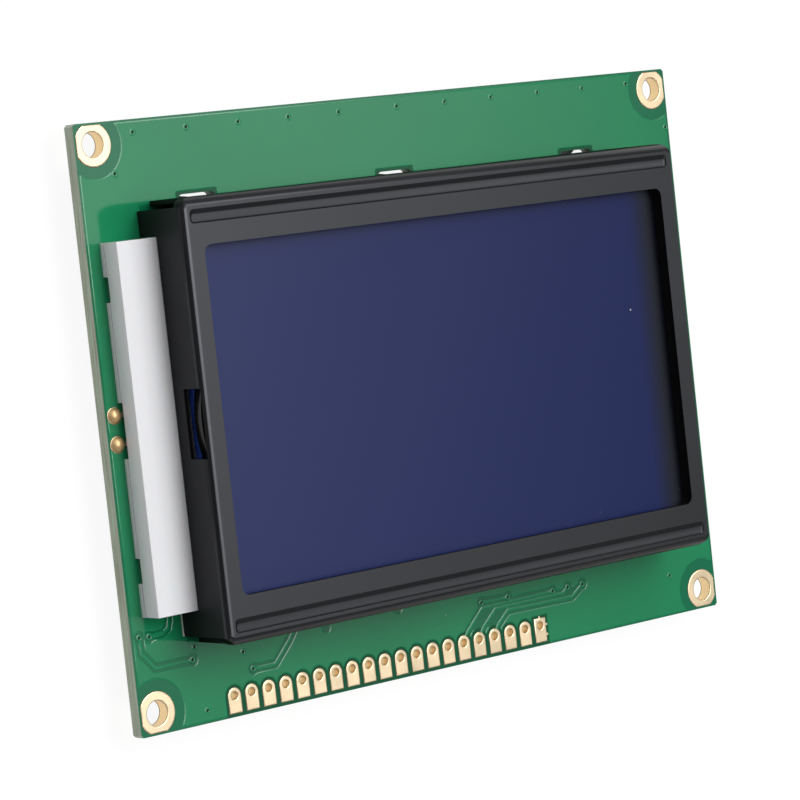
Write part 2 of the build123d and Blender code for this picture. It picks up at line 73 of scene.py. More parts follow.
# %% [markdown]
# Lengths below are written in millimetres, as on a drawing, because a board is drawn that way, and they
# are multiplied by `mm` where they meet the scene, which is in metres. The levels could be typed in, but
# then they would go stale when the solids change, so they are read from the frame. Only the half width of
# the bezel is typed: its box in the frame also holds the twisted tabs, which reach further out.

# %% Levels and sizes
mm = 0.001
board_low, board_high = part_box("circuit_board")
board_top = board_high.z / mm
board_bottom = board_low.z / mm
half_length = board_high.x / mm
half_width = board_high.y / mm
bezel_low, bezel_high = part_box("bezel")
bezel_left = bezel_low.x / mm
bezel_right = bezel_high.x / mm
face_top = bezel_high.z / mm
bezel_half_width = 25.5
print("board", round(half_length * 2, 2), "by", round(half_width * 2, 2), "top at", round(board_top, 3))

# %% [markdown]
# The camera. The photo was taken from the left at some fifty degrees above the board, with the camera
# rolled by nearly a quarter turn, so that the long side of the board runs to the upper right. Its place was
# worked out from the four edges of the board, which are 93 and 70 mm long.

# %% Camera
image_width = 800
focal_in_pixels = 3523.5
camera_place = Vector((-274.46, 28.10, 331.06)) * mm
camera_target = Vector((-3.22, -1.72, 4.6)) * mm
camera_roll = math.radians(88.653)

camera_data = bpy.data.cameras.new("camera")
camera_data.sensor_width = 36.0
camera_data.lens = focal_in_pixels / image_width * camera_data.sensor_width
camera_data.clip_start = 0.01
camera = bpy.data.objects.new("camera", camera_data)
bpy.context.scene.collection.objects.link(camera)
line_of_sight = (camera_target - camera_place).to_track_quat("-Z", "Y").to_matrix().to_4x4()
roll_back = line_of_sight @ line_of_sight.Rotation(camera_roll, 4, "Z")
roll_back.translation = camera_place
camera.matrix_world = roll_back
bpy.context.scene.camera = camera
print("lens", round(camera_data.lens, 1), "mm")

# %% [markdown]
# Node trees are long to write by hand, so one helper adds a node, sets its properties, and fills its
# sockets: a plain value is written into the socket, and another node's output is linked to it. The
# other helpers are the nodes that come up most: a sum, one part of a vector, a ramp from one value to
# another, a mix of two colours, and a mask of what lies flat.

# %% Node helpers
def add(tree, kind, inputs=(), **settings):
    made = tree.nodes.new(kind)
    for name, value in settings.items():
        setattr(made, name, value)
    for name, value in dict(inputs).items():
        if isinstance(value, bpy.types.NodeSocket):
            tree.links.new(value, made.inputs[name])
        else:
            made.inputs[name].default_value = value
    return made


def math_node(tree, operation, first, second=0.0, clamp=False):
    made = add(tree, "ShaderNodeMath", {0: first, 1: second}, operation=operation, use_clamp=clamp)
    return made.outputs[0]


def axis(tree, vector, name):
    return add(tree, "ShaderNodeSeparateXYZ", {"Vector": vector}).outputs[name]


def ramp(tree, value, start, end, first, last, **settings):
    """Gives first where value is start or less, last where it is end or more."""
    reach = {"Value": value, "From Min": start, "From Max": end, "To Min": first, "To Max": last}
    return add(tree, "ShaderNodeMapRange", reach, **settings).outputs[0]


def mix_colour(tree, factor, first, second):
    """Sockets 6 and 7 of a Mix node are its two colours, and output 2 is the mixed one."""
    return add(tree, "ShaderNodeMix", {0: factor, 6: first, 7: second}, data_type="RGBA").outputs[2]


def lies_flat(tree, limit):
    """One on what faces up or down, none on what stands upright."""
    true_normal = add(tree, "ShaderNodeNewGeometry").outputs["True Normal"]
    upright = math_node(tree, "ABSOLUTE", axis(tree, true_normal, "Z"))
    return math_node(tree, "GREATER_THAN", upright, limit)


def grey(value):
    return (value, value, value, 1)


def new_material(name):
    material = bpy.data.materials.new(name)
    material.use_nodes = True
    return material, material.node_tree, material.node_tree.nodes["Principled BSDF"]


print("helpers for nodes are ready")

# %% [markdown]
# Light. A product picture of a flat glossy thing is lit by one large soft box overhead. A lamp with a hard
# edge would be mirrored in the board as a line, so the soft box is drawn on the sky of the world, where
# every side of it can fade. Its right side fades where the middle of the board mirrors it: the left part
# of every glossy face is washed with light, and the right part is deeper in colour. Its brightest part is
# higher up, where only the bends mirror it. The rest of the room is bright behind the board, at +Y, half
# bright in front of it and dark behind the camera. That gives the black lines along the bends and the
# light upper edges.
#
# A place on the sky is given by two slopes, across (X over Z) and along (Y over Z). Each end of the box is
# a pair of them: it is dark at the first and has its full light at the second.

# %% Light and world
box_radiance = 1.38
box_core = 3.8
right_end = (1.08, 0.78)
core_end = (0.66, 0.46)
left_end = (-0.20, 0.22)
front_end = (-0.37, 0.07)
rear_end = (1.25, 0.60)
horizon = (0.0, 0.04)
room_dark = 0.10
room_bright = 0.60
room_front = 0.22
bright_side = Vector((0.0, 0.90, 0.45)).normalized()
bright_spread = (0.15, 0.9)
front_spread = (-0.25, -0.8)

world = bpy.data.worlds.new("studio")
world.use_nodes = True
tree = world.node_tree
direction = add(tree, "ShaderNodeTexCoord").outputs["Generated"]
parts = add(tree, "ShaderNodeSeparateXYZ", {"Vector": direction}).outputs
rise = math_node(tree, "MAXIMUM", parts["Z"], 0.02)
across = math_node(tree, "DIVIDE", parts["X"], rise)
along = math_node(tree, "DIVIDE", parts["Y"], rise)


def fade(tree, value, dark_at, full_at, top=1.0, bottom=0.0):
    """A soft step from bottom to top."""
    low, high = min(dark_at, full_at), max(dark_at, full_at)
    ends = (bottom, top) if dark_at < full_at else (top, bottom)
    return ramp(tree, value, low, high, *ends, interpolation_type="SMOOTHSTEP")


soft_box = math_node(tree, "ADD", fade(tree, across, *right_end, top=box_radiance),
                     fade(tree, across, *core_end, top=box_core))
for slope, end in ((across, left_end), (along, front_end), (along, rear_end), (parts["Z"], horizon)):
    soft_box = math_node(tree, "MULTIPLY", soft_box, fade(tree, slope, *end))
towards = add(tree, "ShaderNodeVectorMath", {0: direction, 1: bright_side}, operation="DOT_PRODUCT")
room = fade(tree, towards.outputs["Value"], *bright_spread, top=room_bright, bottom=room_dark)
room = math_node(tree, "ADD", room, fade(tree, parts["Y"], *front_spread, top=room_front))
background = tree.nodes["Background"]
background.inputs["Color"].default_value = grey(1)
tree.links.new(math_node(tree, "ADD", soft_box, room), background.inputs["Strength"])
bpy.context.scene.world = world
bpy.context.scene.view_settings.view_transform = "Standard"
print("soft box", box_radiance + box_core, "room", room_dark, "to", room_bright)

# %% [markdown]
# The floor. It could be lit until it is white, but that light would also wash out the object. Instead it
# shines a little by itself where the camera or a mirror looks at it, and keeps a faint contact shadow.
# Light that bounces off it sees a plain pale floor.

# %% Floor
floor_reach = 3.0
floor_glow = 0.92
floor_shade = 0.10
floor_pale = 0.75

floor_mesh = bpy.data.meshes.new("floor")
corners = [(-floor_reach, -floor_reach, 0), (floor_reach, -floor_reach, 0),
           (floor_reach, floor_reach, 0), (-floor_reach, floor_reach, 0)]
floor_mesh.from_pydata(corners, [], [(0, 1, 2, 3)])
floor = bpy.data.objects.new("floor", floor_mesh)
bpy.context.scene.collection.objects.link(floor)
floor_material, tree, shader = new_material("floor")
path = add(tree, "ShaderNodeLightPath")
seen = math_node(tree, "ADD", path.outputs["Is Camera Ray"], path.outputs["Is Glossy Ray"])
seen = math_node(tree, "ADD", seen, path.outputs["Is Transmission Ray"], clamp=True)
shader.inputs["Roughness"].default_value = 1.0
shader.inputs["Specular IOR Level"].default_value = 0.0
tree.links.new(mix_colour(tree, seen, grey(floor_pale), grey(floor_shade)), shader.inputs["Base Color"])
shader.inputs["Emission Strength"].default_value = 1.0
tree.links.new(mix_colour(tree, seen, grey(0), grey(floor_glow)), shader.inputs["Emission Color"])
floor_mesh.materials.append(floor_material)
print("floor", floor_reach * 2, "m wide")

# %% [markdown]
# Effects that several finishes share are node groups. `fine_grain` is the height of the tiny unevenness
# that every moulded, painted or plated surface has. `slow_patches` is a value that wanders over the
# surface, for gloss that isn't the same everywhere. `settled_dust` is a mask of sparse specks on what
# faces up.

# %% Effect groups
def new_group(name, numbers, outputs):
    """A group that is given a place and some numbers, and hands back numbers."""
    group = bpy.data.node_groups.new(name, "ShaderNodeTree")
    group.interface.new_socket("Place", in_out="INPUT", socket_type="NodeSocketVector")
    for label, value in numbers.items():
        socket = group.interface.new_socket(label, in_out="INPUT", socket_type="NodeSocketFloat")
        socket.default_value = value
    for label in outputs:
        group.interface.new_socket(label, in_out="OUTPUT", socket_type="NodeSocketFloat")
    return group, group.nodes.new("NodeGroupInput").outputs, group.nodes.new("NodeGroupOutput").inputs


fine_grain, given, result = new_group("fine_grain", {"Scale": 3000.0, "Sharpness": 0.5}, ["Height"])
noise = add(fine_grain, "ShaderNodeTexNoise",
            {"Vector": given["Place"], "Scale": given["Scale"], "Roughness": given["Sharpness"],
             "Detail": 3.0})
fine_grain.links.new(noise.outputs[0], result["Height"])

slow_patches, given, result = new_group("slow_patches", {"Scale": 60.0, "Low": 0.3, "High": 0.4},
                                        ["Value", "Mask"])
noise = add(slow_patches, "ShaderNodeTexNoise",
            {"Vector": given["Place"], "Scale": given["Scale"], "Detail": 4.0, "Roughness": 0.55})
spread = ramp(slow_patches, noise.outputs[0], 0.3, 0.7, 0.0, 1.0)
placed = ramp(slow_patches, spread, 0.0, 1.0, given["Low"], given["High"])
slow_patches.links.new(placed, result["Value"])
slow_patches.links.new(spread, result["Mask"])

settled_dust, given, result = new_group("settled_dust", {"Scale": 500.0, "Size": 0.06, "Amount": 0.1},
                                        ["Mask"])
cells = add(settled_dust, "ShaderNodeTexVoronoi", {"Vector": given["Place"], "Scale": given["Scale"]})
near = math_node(settled_dust, "LESS_THAN", cells.outputs["Distance"], given["Size"])
chosen = add(settled_dust, "ShaderNodeSeparateColor", {"Color": cells.outputs["Color"]})
few = math_node(settled_dust, "LESS_THAN", chosen.outputs[0], given["Amount"])
normal = add(settled_dust, "ShaderNodeNewGeometry").outputs["Normal"]
upward = math_node(settled_dust, "GREATER_THAN", axis(settled_dust, normal, "Z"), 0.7)
speck = math_node(settled_dust, "MULTIPLY", near, few)
settled_dust.links.new(math_node(settled_dust, "MULTIPLY", speck, upward), result["Mask"])
print("groups:", [group.name for group in (fine_grain, slow_patches, settled_dust)])

# %% [markdown]
# Every finish starts in the same way: a base colour that drifts a little, a gloss that drifts more, and a
# fine grain that bends the light. `finish` builds that, and hands back what a finish with more to say
# needs: it gets the rest by `wire`. Values that are the same all over are written on the shader itself.
# `dress` puts a finish on nodes of the frame.

# %% The common start of a finish
speck_colour = (0.55, 0.54, 0.52, 1)


def use_group(tree, group, **values):
    return add(tree, "ShaderNodeGroup", values, node_tree=group)


def finish(name, colour, gloss, grain, metal=0.0, drift=0.06, drift_scale=60.0, dust=0.0, **sockets):
    """colour is linear (r, g, b), gloss is (lowest, highest) roughness, grain is (scale, depth in mm)."""
    material, tree, shader = new_material(name)
    place = add(tree, "ShaderNodeTexCoord").outputs["Object"]
    patches = use_group(tree, slow_patches, Place=place, Scale=drift_scale, Low=gloss[0], High=gloss[1])
    tree.links.new(patches.outputs["Value"], shader.inputs["Roughness"])
    pale = tuple(min(1.0, part * (1 + drift)) for part in colour) + (1,)
    deep = tuple(part * (1 - drift) for part in colour) + (1,)
    tint = mix_colour(tree, patches.outputs["Mask"], deep, pale)
    if dust:
        specks = use_group(tree, settled_dust, Place=place, Amount=dust)
        tint = mix_colour(tree, specks.outputs["Mask"], tint, speck_colour)
    tree.links.new(tint, shader.inputs["Base Color"])
    skin = use_group(tree, fine_grain, Place=place, Scale=grain[0])
    bump = add(tree, "ShaderNodeBump",
               {"Height": skin.outputs["Height"], "Distance": grain[1] * mm, "Strength": 1.0})
    tree.links.new(bump.outputs["Normal"], shader.inputs["Normal"])
    shader.inputs["Metallic"].default_value = metal
    for socket, value in sockets.items():
        shader.inputs[socket.replace("_", " ")].default_value = value
    return {"material": material, "tree": tree, "shader": shader, "place": place,
            "tint": tint, "bump": bump, "patches": patches}


def wire(made, socket, value):
    """Links a value to the shader of a finish."""
    made["tree"].links.new(value, made["shader"].inputs[socket])


def dress(made, *names):
    """Gives nodes of the frame their finish."""
    for name in names:
        nodes[name].data.materials.clear()
        nodes[name].data.materials.append(made["material"])


print("finish, wire and dress are ready")

# %% [markdown]
# The green lacquer. Solder mask is a clear green coat over either copper or bare laminate. Over copper
# it is lighter, and over laminate deeper and a little bluer. It is glossy, so it mirrors the bezel and the
# soft box. The board's cut edge shows the laminate itself: pale layers of glass cloth.

# %% Lacquer over laminate, lacquer over copper, cut edge
lacquer_on_laminate = (0.004, 0.158, 0.070)
lacquer_on_copper = (0.012, 0.235, 0.096)
laminate_pale = (0.50, 0.61, 0.46, 1)
laminate_brown = (0.33, 0.34, 0.25, 1)
lacquer_gloss = (0.06, 0.10)
lacquer_shine = 0.5
lacquer_grain = (700.0, 0.0008)
cut_dullness = 0.35

bare_board = finish("board_lacquer", lacquer_on_laminate, lacquer_gloss, lacquer_grain, drift=0.05,
                    Specular_IOR_Level=lacquer_shine)
tree = bare_board["tree"]
on_face = lies_flat(tree, 0.5)
layers = add(tree, "ShaderNodeMapping", {"Vector": bare_board["place"], "Scale": (150, 150, 6000)})
cloth = add(tree, "ShaderNodeTexNoise", {"Vector": layers.outputs[0], "Scale": 1.0, "Detail": 3.0})
cloth_mask = ramp(tree, cloth.outputs[0], 0.35, 0.65, 0.0, 1.0)
cut_edge = mix_colour(tree, cloth_mask, laminate_brown, laminate_pale)
wire(bare_board, "Base Color", mix_colour(tree, on_face, cut_edge, bare_board["tint"]))
on_cut = math_node(tree, "SUBTRACT", 1.0, on_face)
duller = math_node(tree, "MULTIPLY", on_cut, cut_dullness)
wire(bare_board, "Roughness", math_node(tree, "ADD", bare_board["patches"].outputs["Value"], duller))
dress(bare_board, "circuit_board")

copper_board = finish("copper_lacquer", lacquer_on_copper, lacquer_gloss, lacquer_grain, drift=0.05,
                      Specular_IOR_Level=lacquer_shine)
print("board finishes:", bare_board["material"].name, copper_board["material"].name)

# %% [markdown]
# The metals. The pads are copper with nickel and a flash of gold, a satin peach colour with soft clouds.
# Inside the holes the plating is painted a little browner, a painted shade for the walls of the holes. The
# holes could have a material of their own, but they are one solid with the pads, so the direction of the
# surface tells them apart. The strips of the backlight are tinned, and their solder has gone warm under its
# flux.

# %% Gold, tin and solder
gold = finish("gold_flash", (0.95, 0.77, 0.51), (0.30, 0.42), (2600.0, 0.0016), metal=0.85, drift=0.05,
              drift_scale=300.0)
tree = gold["tree"]
barrel_shade_tint = (0.95, 0.70, 0.37, 1)
# Painted shade: upright faces, the walls of the holes, get the browner tint.
wire(gold, "Base Color", mix_colour(tree, lies_flat(tree, 0.3), barrel_shade_tint, gold["tint"]))
dress(gold, "mounting_pads", "header_pads")
tin = finish("tinned_strip", (0.66, 0.64, 0.60), (0.24, 0.40), (2200.0, 0.0020), metal=1.0, drift=0.08,
             drift_scale=400.0)
dress(tin, "backlight_pins", "converter_leads", "chip_end_caps")
solder = finish("warm_solder", (0.74, 0.50, 0.25), (0.34, 0.46), (1500.0, 0.0060), metal=0.75, drift=0.12,
                drift_scale=500.0)
dress(solder, "backlight_solder")
print("metals:", gold["material"].name, tin["material"].name, solder["material"].name)

# %% [markdown]
# The bezel is steel with a satin black paint. The paint has a very fine orange peel, and a few specks of
# dust lie on it. The spray falls on it from the front, so the paint is smoother on the face than on the
# sides. That keeps the sides dark beside the white tray. What leans to the upper side, at +Y, is duller
# too, or else the roll there would mirror the soft box as a hard line. Seen at a flat angle the grains of
# the paint hide each other, and the sheen goes away: Layer Weight gives that angle.

# %% Bezel paint
# Painted reflection colour: the sheen of the paint and of the film is tinted blue, for the bluish light
# they mirror.
painted_blue_sheen = (0.88, 0.91, 1.0, 1.0)
face_shine = 0.72
side_shine = 0.34
side_dullness = 0.24
upper_share = 0.55
upper_lean = (0.02, 0.12)
flat_share = 0.10
flat_angle = (0.55, 0.70)
later_when_upper = -0.2
steep = 0.6

bezel_paint = finish("bezel_paint", (0.004, 0.004, 0.004), (0.29, 0.32), (3600.0, 0.0016), drift=0.10,
                     dust=0.003, Specular_Tint=painted_blue_sheen)
tree = bezel_paint["tree"]
normal = add(tree, "ShaderNodeNewGeometry").outputs["Normal"]
leaning = add(tree, "ShaderNodeSeparateXYZ", {"Vector": normal}).outputs
level = math_node(tree, "ABSOLUTE", leaning["Z"])
rough_side = ramp(tree, level, 0.0, steep, side_dullness, 0.0)
wire(bezel_paint, "Roughness", math_node(tree, "ADD", bezel_paint["patches"].outputs["Value"], rough_side))
facing = add(tree, "ShaderNodeLayerWeight", {"Blend": 0.5}).outputs["Facing"]
slant = math_node(tree, "ADD", facing, math_node(tree, "MULTIPLY", leaning["Y"], later_when_upper))
shine = math_node(tree, "MULTIPLY", ramp(tree, level, 0.0, steep, side_shine, face_shine),
                  ramp(tree, leaning["Y"], *upper_lean, 1.0, upper_share))
shine = math_node(tree, "MULTIPLY", shine, ramp(tree, slant, *flat_angle, 1.0, flat_share))
wire(bezel_paint, "Specular IOR Level", shine)
print("bezel:", bezel_paint["material"].name)

# %% [markdown]
# The left edge of the face rolls over softly before the bend, and mirrors the brightest part of the soft
# box as a light line. The solid is flat there up to a small step. A piece laid on top would stand higher
# than the part, so the roll is drawn into the paint: a Bump node takes the height of a rounded edge, which
# falls off with the square of the distance.

# %% Rolled left edge and gasket
edge_start = 0.40
edge_width = 0.50
edge_drop = 0.09

edge_from = bezel_left + edge_start
nearness = ramp(tree, axis(tree, bezel_paint["place"], "X"), edge_from * mm, (edge_from + edge_width) * mm,
                1.0, 0.0)
fall = math_node(tree, "MULTIPLY", nearness, nearness)
rolled_edge = add(tree, "ShaderNodeBump",
                  {"Height": math_node(tree, "SUBTRACT", 1.0, fall), "Distance": edge_drop * mm,
                   "Strength": 1.0, "Normal": bezel_paint["bump"].outputs["Normal"]})
wire(bezel_paint, "Normal", rolled_edge.outputs["Normal"])
dress(bezel_paint, "bezel")
foam = finish("gasket_foam", (0.008, 0.008, 0.008), (0.85, 0.95), (2400.0, 0.0250), drift=0.3,
              drift_scale=900.0, Specular_IOR_Level=0.2)
dress(foam, "bezel_gasket")
print("edge", edge_width, "mm wide, gasket:", foam["material"].name)

# %% [markdown]
# The display cell. Its front film is matt and deep blue, with a thin haze of its own on top. The blue is
# light that went in through the film and came back from behind the cell, two glasses down. Blue and haze
# both get a little weaker from left to right, away from the light: a painted shade. Beside the far wall of
# the window the blue is missing, and only the haze stays: a painted shadow of the wall. That could be left
# to a glass material with real depth, but a deep blue film whose colour fades with its place shows the
# same, and stays free of noise. The edge of the rear glass is a strong blue, painted light for the light
# the glass carries, and the front one is painted near black, a painted shade.

# %% Front film
window_margin = 2.7
full_blue = 5.2
no_blue = 0.9
haze_ends = (0.43, 0.24)
blue_ends = (1.0, 0.84)
unlit_film = (0.006, 0.007, 0.010, 1)

screen = finish("front_film", (0.0035, 0.012, 0.096), (0.40, 0.44), (5200.0, 0.0016), drift=0.02,
                drift_scale=25.0, dust=0.002, Specular_Tint=painted_blue_sheen)
tree = screen["tree"]
window_right = bezel_right - window_margin
place_x = axis(tree, screen["place"], "X")
# Painted shadow of the window's far wall: the blue fades out beside it, and only the haze stays.
lit = ramp(tree, place_x, (window_right - full_blue) * mm, (window_right - no_blue) * mm, 1.0, 0.04,
           interpolation_type="SMOOTHSTEP")
# Painted shade: blue and haze get a little weaker from left to right, away from the light.
weaker = ramp(tree, place_x, bezel_left * mm, bezel_right * mm, *blue_ends)
wire(screen, "Specular IOR Level", ramp(tree, place_x, bezel_left * mm, bezel_right * mm, *haze_ends))
blue_share = math_node(tree, "MULTIPLY", lit, weaker)
wire(screen, "Base Color", mix_colour(tree, blue_share, unlit_film, screen["tint"]))
dress(screen, "lcd_front_polarizer")
print("film:", screen["material"].name)

# %% [markdown]
# The rest of the cell is seen only at its edges: the two glasses through the slot in the left flange, the
# bead of resin that closes the filling port, and the rubber strips that join the glass to the board. Real
# glass could let light through, but at an edge this thin it would only add noise, so the rear one is a
# glossy bright blue, painted light for the light it carries, and the front one a near black, painted shade.

# %% Glasses, resin bead and rubber strips
# Painted light: the rear glass edge is a bright blue for the light the glass carries to it.
glass = finish("cell_glass", (0.045, 0.115, 0.560), (0.12, 0.20), (900.0, 0.0010), drift=0.10)
dress(glass, "lcd_rear_glass")
# Painted shade: the front glass is near black for the shadow it lies in.
dress(finish("front_glass_painted_shade", (0.003, 0.004, 0.012), (0.12, 0.20), (900.0, 0.0010), drift=0.10),
      "lcd_front_glass")
dress(finish("rear_film", (0.05, 0.07, 0.22), (0.35, 0.45), (4000.0, 0.0015)), "lcd_rear_polarizer")
resin_bead = finish("seal_bead", (0.006, 0.006, 0.0065), (0.08, 0.16), (700.0, 0.0080), drift=0.2)
dress(resin_bead, "lcd_port_seal")
rubber = finish("contact_rubber", (0.36, 0.31, 0.31), (0.55, 0.70), (2500.0, 0.0060), drift=0.10)
dress(rubber, "contact_strip_top", "contact_strip_bottom")
print("cell:", glass["material"].name, resin_bead["material"].name, rubber["material"].name)

# %% [markdown]
# The backlight. Its tray is a white moulding with a glossy skin, and light goes a little way into the
# plastic: a small subsurface share softens its shadows, where a plain white would look like chalk. The
# films, the clear guide, the lamps and their board are hidden inside it, and still get their own finish,
# because every piece can be looked at by itself.

# %% Backlight
housing_white = finish("tray_white", (0.86, 0.86, 0.885), (0.10, 0.13), (1800.0, 0.0014), drift=0.003,
                       dust=0.004, Subsurface_Weight=0.12, Subsurface_Scale=0.0006)
dress(housing_white, "backlight_housing")
dress(finish("white_film", (0.85, 0.85, 0.85), (0.45, 0.55), (2800.0, 0.0015), drift=0.01),
      "reflector_film", "diffuser_film")
clear_guide = finish("clear_guide", (0.93, 0.96, 0.97), (0.04, 0.08), (800.0, 0.0004), drift=0.01,
                     Transmission_Weight=0.9, IOR=1.49)
dress(clear_guide, "light_guide")
dress(finish("white_print", (0.78, 0.78, 0.76), (0.40, 0.50), (2400.0, 0.0020), drift=0.03), "lamp_board")
dress(finish("lamp_body", (0.84, 0.80, 0.56), (0.30, 0.40), (2600.0, 0.0020), drift=0.08,
             drift_scale=700.0), "lamps")
print("backlight:", housing_white["material"].name, clear_guide["material"].name)

# %% [markdown]
# The rear. Bare chips are covered with drops of black resin, which flow out and set with a soft gloss.
# Next to them are a small moulded package, resistors with a black glaze and capacitors of tan ceramic.
# All four are nearly black or brown, so it is their gloss and grain that tell them apart.

# %% Parts on the rear
potting = finish("potting_resin", (0.012, 0.012, 0.012), (0.26, 0.40), (700.0, 0.0160), drift=0.25,
                 drift_scale=180.0)
potted_chips = ("controller_potting", "left_driver_potting", "right_driver_potting")
dress(potting, *potted_chips)
dress(finish("chip_package", (0.020, 0.020, 0.021), (0.50, 0.62), (3200.0, 0.0040), drift=0.10),
      "voltage_converter")
dress(finish("resistor_glaze", (0.018, 0.018, 0.022), (0.14, 0.24), (1500.0, 0.0020), drift=0.15),
      "chip_resistors")
dress(finish("capacitor_ceramic", (0.34, 0.22, 0.13), (0.35, 0.48), (2600.0, 0.0030), drift=0.12,
             drift_scale=500.0), "chip_capacitors")
print("undressed nodes:", [name for name in nodes if not nodes[name].data.materials])

# %% [markdown]
# The copper. A board's tracks stand a few hundredths of a millimetre proud of the laminate, and the
# lacquer flows over them with a soft shoulder. That shoulder is what catches the light. It could be a bump
# texture, but real relief looks right from every side, so each sheet of copper is a thin mesh.
#
# The outlines are drawn as a draughtsman would: first the full pour, then what is cut from it, then
# the tracks laid in the cuts. Each outline says whether copper stays inside it, and the last one that
# covers a spot decides. A constrained triangulation turns the stack of outlines into one clean sheet.

# %% Outlines
def around(centre, radius, angle):
    return (centre[0] + radius * math.cos(angle), centre[1] + radius * math.sin(angle))


def circle(x, y, radius, count):
    return [around((x, y), radius, 2 * math.pi * i / count) for i in range(count)]


def slab(x0, y0, x1, y1, radius=0.0, count=5):
    """A rectangle, with round corners if a radius is given."""
    if radius <= 0:
        return [(x0, y0), (x1, y0), (x1, y1), (x0, y1)]
    centres = [(x1 - radius, y1 - radius), (x0 + radius, y1 - radius),
               (x0 + radius, y0 + radius), (x1 - radius, y0 + radius)]
    return [around(centre, radius, math.radians(90 * (corner + i / count)))
            for corner, centre in enumerate(centres) for i in range(count + 1)]


def block(x, y, half_x, half_y, radius=0.0, count=5):
    """A slab given by its middle."""
    return slab(x - half_x, y - half_y, x + half_x, y + half_y, radius, count)


def bar(start, end, radius, count=8):
    """A straight track with round ends."""
    angle = math.atan2(end[1] - start[1], end[0] - start[0])
    return [around(centre, radius, turn + math.pi * i / count)
            for centre, turn in ((end, angle - math.pi / 2), (start, angle + math.pi / 2))
            for i in range(count + 1)]


def circles(places, radius, count, stays):
    return [(circle(x, y, radius, count), stays) for x, y in places]


def bars(tracks, radius, stays, count=8):
    return [(bar(start, end, radius, count), stays) for track in tracks
            for start, end in zip(track, track[1:])]


def inside_edges(points, margin):
    """Cuts an outline off straight where it comes nearer to the board's edge than margin."""
    x_limit = half_length - margin
    y_limit = half_width - margin
    return [(max(-x_limit, min(x_limit, x)), max(-y_limit, min(y_limit, y))) for x, y in points]


print("a slab has", len(slab(0, 0, 1, 1, 0.1)), "points")

# %% [markdown]
# `triangulate` keeps the triangles whose last outline says yes. An edge that only one triangle uses is on
# the border, and `outward_steps` finds which way is out for each point of it.

# %% From outlines to triangles
def signed_area(points):
    pairs = zip(points, points[1:] + points[:1])
    return sum(a[0] * b[1] - b[0] * a[1] for a, b in pairs) / 2


def triangulate(outlines):
    """The points and the triangles that stay, from a stack of (points, stays)."""
    corners, loops = [], []
    for points, stays in outlines:
        ordered = points if signed_area(points) > 0 else points[::-1]
        loops.append(list(range(len(corners), len(corners) + len(ordered))))
        corners += [Vector(point) for point in ordered]
    found = delaunay_2d_cdt(corners, [], loops, 0, 1e-5, True)
    kept = []
    for face, owners in zip(found[2], found[5]):
        if owners and outlines[max(owners)][1]:
            a, b, c = [found[0][i] for i in face[:3]]
            kept.append(face if (b - a).cross(c - a) > 0 else face[::-1])
    used = sorted({i for face in kept for i in face})
    renumber = {old: new for new, old in enumerate(used)}
    return [found[0][i] for i in used], [[renumber[i] for i in face] for face in kept]


def outward_steps(points, faces):
    """For each point on a border, the step that moves it out by one; for the others, none."""
    directed = {(face[i], face[(i + 1) % len(face)]) for face in faces for i in range(len(face))}
    border = [edge for edge in directed if edge[::-1] not in directed]
    sides = {}
    for a, b in border:
        along = (points[b] - points[a]).normalized()
        for i in (a, b):
            sides.setdefault(i, []).append(Vector((along.y, -along.x)))
    steps = {}
    for i, found in sides.items():
        total = sum(found, Vector((0, 0)))
        middle = total.normalized() if total.length > 1e-6 else found[0]
        steps[i] = middle / max(0.5, middle.dot(found[0]))
    return border, steps


print("a slab makes", len(triangulate([(slab(0, 0, 1, 1), True)])[1]), "triangles")

# %% [markdown]
# `place_piece` makes one mesh of places in millimetres and hangs it on the part.
# `raised_sheet` uses it for the copper. The triangles form the top. The border gets a shoulder in a few
# rings, and the same triangles turned over close the bottom, a hair inside the board. The shoulder is a
# shallow S. The normals are written by hand: straight up on top, leaning outward on the shoulder, so that
# the flat stays flat and only the rim catches light.

# %% Pieces and raised sheets
shoulder_rings = 4
sunk = 0.02


def s_curve(share):
    return share * share * (3 - 2 * share)


def place_piece(name, places, polygons, made, smooth=True, normals=None):
    mesh = bpy.data.meshes.new(name)
    mesh.from_pydata([[value * mm for value in place] for place in places], [], polygons)
    if smooth:
        mesh.shade_smooth()
    if normals:
        mesh.normals_split_custom_set_from_vertices(normals)
    piece = bpy.data.objects.new(name, mesh)
    bpy.context.scene.collection.objects.link(piece)
    mesh.materials.append(made["material"])
    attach(piece, "root")
    print(name, "has", len(mesh.polygons), "faces")
    return piece


def raised_sheet(name, outlines, level, height, shoulder, facing, made):
    """A sheet of one height, facing 1 for up and -1 for down. Most of them are part of the board."""
    points, faces = triangulate(outlines)
    border, steps = outward_steps(points, faces)
    places = [(point.x, point.y, level + facing * height) for point in points]
    normals = [(0, 0, facing)] * len(points)
    first = {}
    for ring in range(1, shoulder_rings + 1):
        share = ring / shoulder_rings
        out = shoulder * share
        top = height - height * s_curve(share)
        angle = math.atan(height / shoulder * 6 * share * (1 - share))
        for i, step in steps.items():
            first[ring, i] = len(places)
            places.append((points[i].x + step.x * out, points[i].y + step.y * out, level + facing * top))
            side = step.normalized() * math.sin(angle)
            normals.append((side.x, side.y, facing * math.cos(angle)))
    under = {}
    for i, point in enumerate(points):
        step = steps.get(i, Vector((0, 0))) * shoulder
        under[i] = len(places)
        places.append((point.x + step.x, point.y + step.y, level - facing * sunk))
        normals.append((0, 0, -facing))
    polygons = [list(face) for face in faces]
    polygons += [[under[i] for i in face[::-1]] for face in faces]
    for a, b in border:
        for ring in range(shoulder_rings + 1):
            near = [first.get((ring, i), i) for i in (b, a)]
            far = [first.get((ring + 1, i), under[i]) for i in (a, b)]
            polygons.append(near + far)
    if facing < 0:
        polygons = [polygon[::-1] for polygon in polygons]
    return place_piece(name, places, polygons, made, normals=normals)


print("raised sheets have", shoulder_rings, "rings in their shoulder")

# %% [markdown]
# What stands on the board, in its own measures: four mounting pads, a row of twenty header pads, the
# six slots for the bezel's tabs and the two terminals of the backlight.

